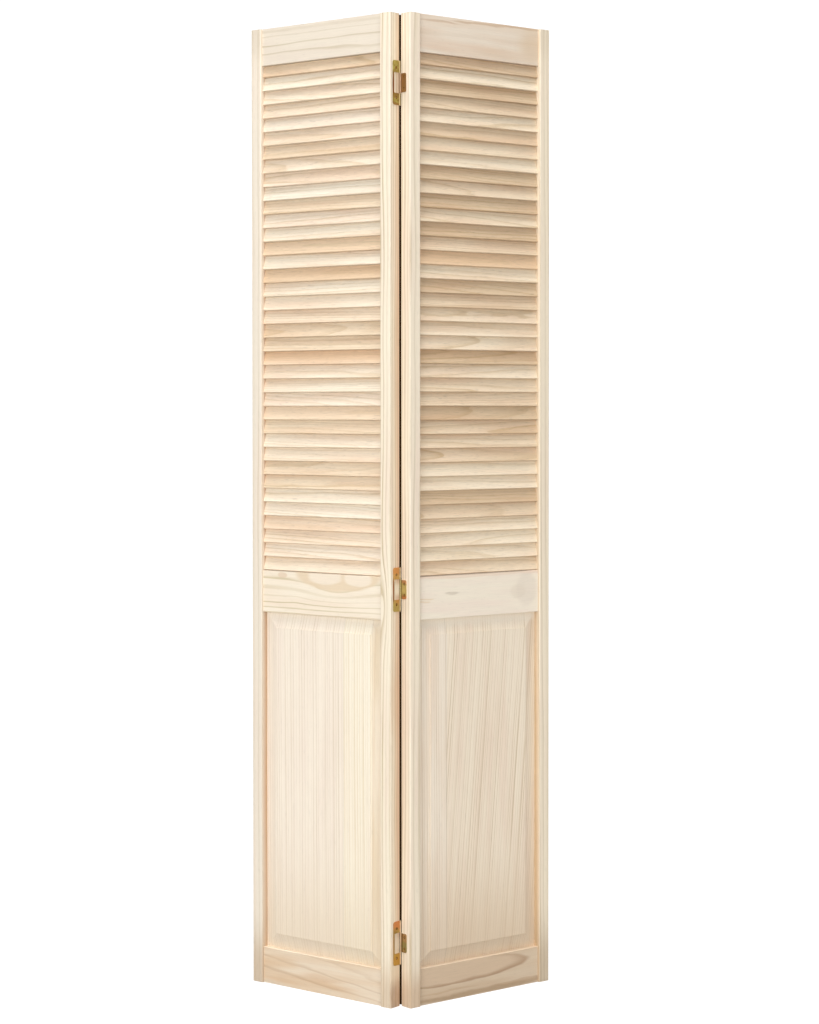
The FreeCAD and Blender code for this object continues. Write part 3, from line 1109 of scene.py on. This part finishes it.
RIGHT_BOARDS = {
    "outer_stile": (PineBoard(
        "pine_right_outer_stile", sapwood="F6E9D2", latewood="BCA680", heartwood="DCC09C",
        pith=(-42.0, 22.0), ring=8.0, heart_radius=39.0, cloudiness=0.3, wander=6.0, line_strength=1.0,
        end_grain=0.5,
        stains=(end_tone(-STILE_END, 115.0, "AD9475", 0.5), end_tone(STILE_END, 60.0, "B8A98F", 0.2)),
        # This mark on the inner edge is painted shade beside the slats' ends.
        marks=(Stain(-13.6, 0.0, 1.2, 4000.0, "A9845E", 0.17, 0.1),)), Grain.UPRIGHT),
    "hinge_stile": (PineBoard(
        "pine_right_hinge_stile", sapwood="F8EBD5", latewood="B0986A", heartwood="EBC8A6",
        pith=(40.0, 60.0), ring=7.0, line_strength=1.0, lean=(0.4, 0.5), wander=11.0,
        end_grain=0.5, stains=(end_tone(-STILE_END, 72.0, "C49D77", 0.55),)), Grain.UPRIGHT),
    "top_rail": (PineBoard(
        "pine_right_top_rail", sapwood="EADCCA", latewood="D3BFA4", blush="E4CDB6",
        pith=(60.0, 300.0), line_strength=0.25, cloudiness=0.9, onset=0.7,
        stains=(Stain(27.0, -110.0, 2.6, 60.0, "CDB092", 0.6, 0.3),
                Stain(33.0, -10.0, 2.6, 70.0, "C8A886", 0.6, 0.3),
                Stain(36.0, 100.0, 3.0, 80.0, "C8A886", 0.6, 0.3),
                Stain(0.0, 150.0, 40.0, 46.0, "DCC2A2", 0.6, 0.4),
                Stain(-24.0, 60.0, 12.0, 80.0, "DEC6AC", 0.5, 0.4))),
        Grain.LEVEL),
    "mid_rail": (PineBoard(
        "pine_right_mid_rail", sapwood="FAEFDC", latewood="E6D7C0", blush="F8E6D6",
        pith=(6.0, 420.0), line_strength=0.3, wander=2.0, onset=0.7,
        stains=(Stain(8.0, -74.0, 3.4, 20.0, "DACCB8", 0.7, 0.25),
                Stain(-2.0, -146.0, 2.2, 26.0, "EBD3B0", 0.6),
                Stain(-8.0, -150.0, 2.0, 22.0, "EBD3B0", 0.6),
                Stain(6.0, 128.0, 38.0, 32.0, "ECDFCE", 0.55, 0.14),
                Stain(2.0, 104.0, 16.0, 24.0, "E8DAC6", 0.4, 0.2),
                Stain(42.0, 0.0, 5.0, 300.0, "F0D4BA", 0.5, 0.3)),
        # The mark along the top arris is painted shadow in the joint under the lowest slat.
        marks=(Stain(43.5, -40.0, 1.3, 200.0, "6A4A32", 0.5, 0.1),)), Grain.LEVEL),
    "bottom_rail": (PineBoard(
        "pine_right_bottom_rail", sapwood="DECAB0", latewood="C4A684", blush="D4BA9C",
        cloudiness=0.7, pith=(22.0, 200.0), line_strength=0.3, wander=6.0, ring=14.0,
        stains=(Stain(17.0, -60.0, 26.8, 215.0, "B08E70", 0.8, 0.04),
                Stain(20.0, -76.0, 24.6, 208.0, "DCC4A8", 0.9, 0.12),
                Stain(-26.0, 100.0, 3.5, 95.0, "B8926C", 0.35, 0.2),
                Stain(-31.5, 0.0, 5.5, 300.0, "AE9070", 0.65, 0.4),
                Stain(-18.0, -90.0, 2.5, 90.0, "C4A482", 0.4, 0.2)),
        # The pale mark along the top arris is a painted highlight.
        marks=(Stain(37.6, 0.0, 1.2, 2000.0, "F6E8D4", 0.2, 0.1),)), Grain.LEVEL),
    "raised_panel": (GluedPanel("pine_right_panel", (
        PineBoard("strip_a", sapwood="F9ECDA", latewood="D8C2A2", blush="EED7C0",
                  pith=(-260.0, 60.0), ring=5.6, wander=3.0, line_strength=0.9, cloudiness=0.5,
                  stains=RIGHT_PANEL_SHADING),
        PineBoard("strip_b", sapwood="F9EBD6", latewood="D4BD9A", blush="F1DAC5",
                  pith=(-300.0, 60.0), ring=6.6, lean=(0.0, -5.0), wander=3.0, line_strength=0.9,
                  cloudiness=0.5, stains=RIGHT_PANEL_SHADING)),
        (-86.0,)), Grain.UPRIGHT),
}

SLAT_BOARD = PineBoard(
    "pine_slats", sapwood="F6ECDA", latewood="D5C09E", heartwood="EAD0B2", blush="F0DEC9",
    pith=(0.0, 70.0), ring=4.0, wander=6.0, ripple=1.8, heart_radius=34.0, heart_edge=12.0,
    coarseness=2.2, cloudiness=0.9)
SLAT_TONES = {
    Side.LEFT: ("FFFEFC", "FFFBF6", "FEF7F0", "FBF0E6", "F5EADD", "FEF8F4"),
    Side.RIGHT: ("FFF8EE", "FDF4E9", "F7EBDD", "F1E3D3", "E4D3BF", "FBF1E4")}
# The ripped top slats are toned darker: painted shade under the top rails.
TOP_SLAT_SHADED_TONES = {Side.LEFT: "F4E6D6", Side.RIGHT: "EBD9C6"}
SLAT_SEEDS = {Side.LEFT: 10, Side.RIGHT: 12}


def main() -> None:
    """Builds the stage, dresses the door and adds its small pieces."""
    logging.basicConfig(level=logging.INFO, format="%(name)s: %(message)s")
    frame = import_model()
    Studio().build()
    Hinges(frame["nodes"], {
        "_outer_plate": OUTER_PLATES, "_inner_plate": INNER_PLATES, "_pin": PINS}).dress()
    slat_finish, screw_finish = SLAT_BOARD.material(None), SCREWS.material()
    for side, boards in ((Side.LEFT, LEFT_BOARDS), (Side.RIGHT, RIGHT_BOARDS)):
        leaf = LeafFrame(side)
        Joinery(leaf, frame["nodes"], boards).dress()
        LouvreBank(leaf, slat_finish, seed=SLAT_SEEDS[side]).build()
        HingeScrews(leaf, screw_finish, {"top": TOP, "mid": MID, "bottom": BOTTOM},
                    SCREW_SPACINGS[side]).build()


if __name__ == "__main__":
    main()
